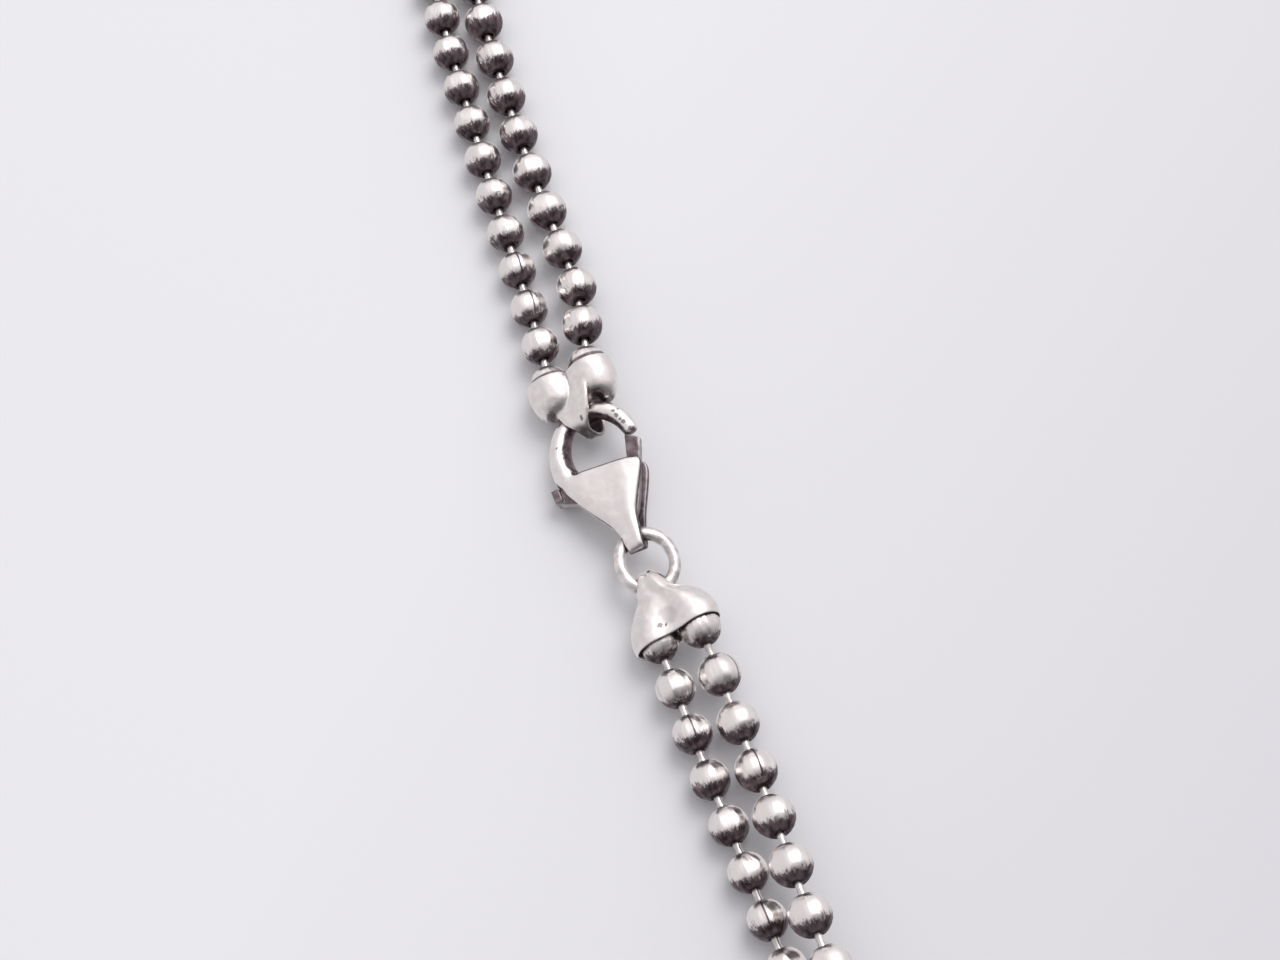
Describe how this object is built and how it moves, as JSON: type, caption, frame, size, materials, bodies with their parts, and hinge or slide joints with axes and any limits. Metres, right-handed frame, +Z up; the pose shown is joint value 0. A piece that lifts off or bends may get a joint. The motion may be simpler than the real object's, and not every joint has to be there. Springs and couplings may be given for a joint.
{
  "type": "double-strand bead chain necklace with lobster clasp",
  "caption": "Necklace of parallel strands of round metal beads, closed by a lobster clasp and a jump ring between paired end cups.",
  "frame": {"origin": "middle of the closed loop's bounding box, on the surface that the necklace lies on", "axes": "+Z up from the surface, +Y along the loop's long way, the clasp on the -X side with its hook towards +Y"},
  "size_m": [0.0839, 0.1744, 0.0052],
  "materials": {
    "bead_silver": "polished silver, pitted and slightly tarnished",
    "wire_silver": "drawn silver wire",
    "cup_silver": "cast silver, soft polish",
    "clasp_silver": "cast silver, soft polish, pitted",
    "lever_silver": "stamped silver, darkened",
    "ring_silver": "round wire, soft polish"
  },
  "bodies": {
    "necklace": {"beads_left": "bead_silver", "beads_right": "bead_silver", "wire_left": "wire_silver", "wire_right": "wire_silver", "end_cup_upper": "cup_silver", "end_cup_lower": "cup_silver", "clasp_body": "clasp_silver", "clasp_pin": "lever_silver", "jump_ring": "ring_silver"},
    "lever": {"clasp_lever": "lever_silver"}
  },
  "joints": [
    {"name": "lever_hinge", "type": "hinge", "parent": "necklace", "child": "lever", "pos_m": [-0.0374, -0.00431, 0.0022], "axis": [-0.275, -0.0192, 0.9613], "range_deg": [0, 18], "stiffness_Nm_per_rad": 0.004}
  ]
}
